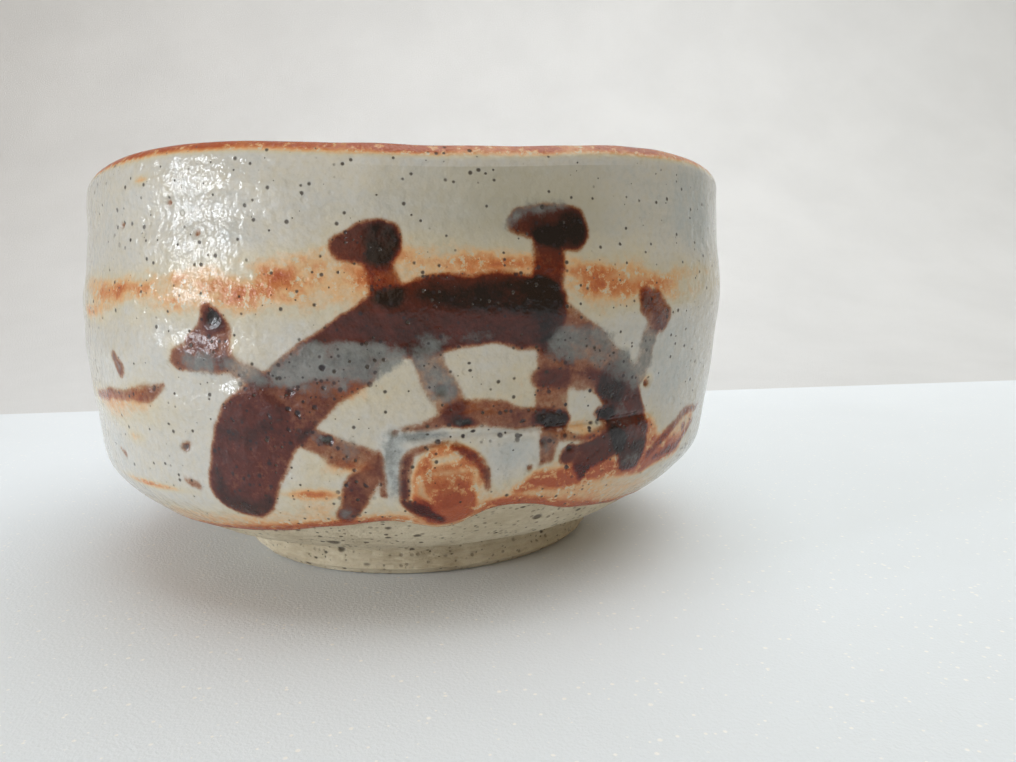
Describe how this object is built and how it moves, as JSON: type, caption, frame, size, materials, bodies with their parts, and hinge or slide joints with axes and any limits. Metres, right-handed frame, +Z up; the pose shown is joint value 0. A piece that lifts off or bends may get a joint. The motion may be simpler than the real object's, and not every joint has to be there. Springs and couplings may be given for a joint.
{
  "type": "tea bowl",
  "caption": "Hand-thrown stoneware tea bowl with a turned foot ring, thick milky glaze inside and out, and a rust-coloured lip.",
  "frame": {"origin": "middle of the foot ring's base, on the surface that the bowl stands on", "axes": "+Z up through the mouth, -Y towards the painted front, +X to the right of the painted front"},
  "size_m": [0.1211, 0.1212, 0.0701],
  "materials": {
    "bare_clay": "matte",
    "painted_glaze": "gloss",
    "plain_glaze": "gloss",
    "lip_glaze": "gloss"
  },
  "bodies": {
    "root": {"foot_ring": "bare_clay", "clay_body": "bare_clay", "outer_glaze": "painted_glaze", "inner_glaze": "plain_glaze", "lip_glaze": "lip_glaze"}
  },
  "joints": []
}
